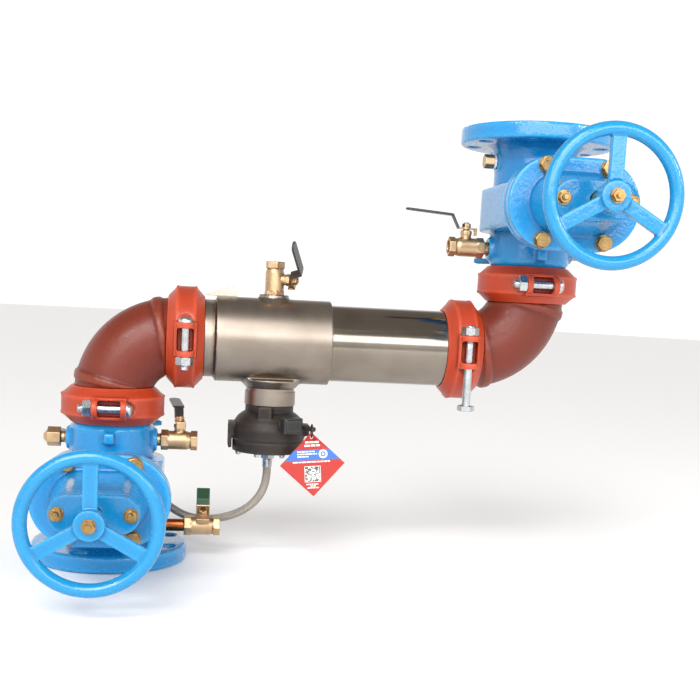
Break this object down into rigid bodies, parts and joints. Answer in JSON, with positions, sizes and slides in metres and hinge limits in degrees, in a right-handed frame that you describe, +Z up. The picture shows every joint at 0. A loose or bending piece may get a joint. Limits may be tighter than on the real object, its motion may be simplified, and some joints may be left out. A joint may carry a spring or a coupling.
{
  "type": "backflow preventer",
  "caption": "Z-pattern reduced-pressure backflow preventer: two flanged gate valves, grooved elbows and couplings, a stainless check body, relief valve, test cocks and hose.",
  "frame": {"origin": "centre of the inlet flange's face", "axes": "+Z up the inlet leg, +X from the inlet leg towards the outlet leg, -Y towards the handwheels"},
  "size_m": [0.8486, 0.4753, 0.6668],
  "materials": {
    "blue_epoxy": "fusion-bonded epoxy coating, satin",
    "orange_enamel": "dip-coated enamel, satin",
    "oxide_paint": "iron-oxide primer, semi-gloss",
    "stainless": "brushed and pickled",
    "steel_plated": "zinc plated",
    "steel_yellow": "yellow-passivated zinc",
    "brass_cast": "cast, matt",
    "bronze_stem": "turned",
    "black_epoxy": "black epoxy coating, textured",
    "black_vinyl": "dipped vinyl sleeve",
    "green_vinyl": "dipped vinyl sleeve",
    "black_plastic": "moulded",
    "rubber": "moulded",
    "braid": "braided sheath over rubber",
    "tag_card": "printed card",
    "milky_plastic": "natural translucent polyethylene"
  },
  "bodies": {
    "assembly": {"inlet_valve_body": "blue_epoxy", "outlet_valve_body": "blue_epoxy", "inlet_bonnet": "blue_epoxy", "outlet_bonnet": "blue_epoxy", "bonnet_gaskets": "rubber", "bonnet_bolts": "steel_yellow", "seal_plates": "blue_epoxy", "seal_plate_bolts": "steel_yellow", "coupling_1": "orange_enamel", "coupling_2": "orange_enamel", "coupling_3": "orange_enamel", "coupling_4": "orange_enamel", "coupling_gaskets": "rubber", "coupling_bolts": "steel_plated", "inlet_elbow": "oxide_paint", "outlet_elbow": "oxide_paint", "check_shell": "stainless", "outlet_tube": "stainless", "relief_neck": "stainless", "check_1_seat": "bronze_stem", "check_2_seat": "bronze_stem", "relief_body": "black_epoxy", "relief_cover": "black_epoxy", "relief_diaphragm": "rubber", "relief_spring": "steel_plated", "relief_screws": "steel_plated", "sensor_box": "black_plastic", "cock_1_body": "brass_cast", "cock_2_body": "brass_cast", "cock_3_body": "brass_cast", "cock_4_body": "brass_cast", "pipe_fittings": "brass_cast", "hose": "braid", "hose_fittings": "steel_plated", "tag_tie": "black_plastic", "plastic_tab": "milky_plastic"},
    "inlet_wheel": {"inlet_stem": "bronze_stem", "inlet_handwheel": "blue_epoxy", "inlet_wheel_nut": "steel_yellow"},
    "inlet_gate": {"inlet_wedge": "rubber", "inlet_wedge_nut": "bronze_stem"},
    "outlet_wheel": {"outlet_stem": "bronze_stem", "outlet_handwheel": "blue_epoxy", "outlet_wheel_nut": "steel_yellow"},
    "outlet_gate": {"outlet_wedge": "rubber", "outlet_wedge_nut": "bronze_stem"},
    "cock_1": {"cock_1_ball": "bronze_stem", "cock_1_lever": "green_vinyl"},
    "cock_2": {"cock_2_ball": "bronze_stem", "cock_2_lever": "black_vinyl"},
    "cock_3": {"cock_3_ball": "bronze_stem", "cock_3_lever": "black_vinyl"},
    "cock_4": {"cock_4_ball": "bronze_stem", "cock_4_lever": "black_vinyl"},
    "check_1_disc": {"check_1_clapper": "bronze_stem", "check_1_spring": "steel_plated"},
    "check_2_disc": {"check_2_clapper": "bronze_stem", "check_2_spring": "steel_plated"},
    "relief_spindle": {"relief_stem": "bronze_stem"},
    "tag": {"hang_tag": "tag_card"}
  },
  "joints": [
    {"name": "inlet_wheel_turn", "type": "hinge", "parent": "assembly", "child": "inlet_wheel", "pos_m": [0, -0.337, 0.121], "axis": [0, 1, 0], "range_deg": [0, 5040]},
    {"name": "inlet_gate_slide", "type": "slide", "parent": "assembly", "child": "inlet_gate", "axis": [0, 1, 0], "range_m": [0, 0.11]},
    {"name": "outlet_wheel_turn", "type": "hinge", "parent": "assembly", "child": "outlet_wheel", "pos_m": [0.62, -0.337, 0.5458], "axis": [0, 1, 0], "range_deg": [0, 5040]},
    {"name": "outlet_gate_slide", "type": "slide", "parent": "assembly", "child": "outlet_gate", "axis": [0, 1, 0], "range_m": [0, 0.11]},
    {"name": "cock_1_turn", "type": "hinge", "parent": "assembly", "child": "cock_1", "pos_m": [0.1375, 0, 0.048], "axis": [0, -0.5736, 0.8192], "range_deg": [-90, 0]},
    {"name": "cock_2_turn", "type": "hinge", "parent": "assembly", "child": "cock_2", "pos_m": [0.0991, 0, 0.178], "axis": [0, 0, 1], "range_deg": [-97, 0]},
    {"name": "cock_3_turn", "type": "hinge", "parent": "assembly", "child": "cock_3", "pos_m": [0.232, 0, 0.4249], "axis": [0.9205, -0.3907, 0], "range_deg": [-58, 32]},
    {"name": "cock_4_turn", "type": "hinge", "parent": "assembly", "child": "cock_4", "pos_m": [0.5194, 0, 0.4888], "axis": [0, 0, 1], "range_deg": [0, 90]},
    {"name": "check_1_swing", "type": "hinge", "parent": "assembly", "child": "check_1_disc", "pos_m": [0.1703, 0, 0.3834], "axis": [0, -1, 0], "range_deg": [0, 60], "stiffness_Nm_per_rad": 6, "springref_deg": -57.3},
    {"name": "check_2_swing", "type": "hinge", "parent": "assembly", "child": "check_2_disc", "pos_m": [0.348, 0, 0.3774], "axis": [0, -1, 0], "range_deg": [0, 60], "stiffness_Nm_per_rad": 2, "springref_deg": -57.3},
    {"name": "relief_slide", "type": "slide", "parent": "assembly", "child": "relief_spindle", "axis": [0, 0, 1], "range_m": [0, 0.01], "stiffness_N_per_m": 6000, "springref_m": -0.01, "deforming": ["relief_spring", "relief_diaphragm"]},
    {"name": "tag_swing", "type": "hinge", "parent": "assembly", "child": "tag", "pos_m": [0.2915, -0.0615, 0.1975], "axis": [0, 1, 0], "range_deg": [-60, 25]}
  ],
  "couplings": [
    {"joint": "inlet_gate_slide", "follows": "inlet_wheel_turn", "m_per_rad": 0.00125},
    {"joint": "outlet_gate_slide", "follows": "outlet_wheel_turn", "m_per_rad": 0.00125}
  ]
}
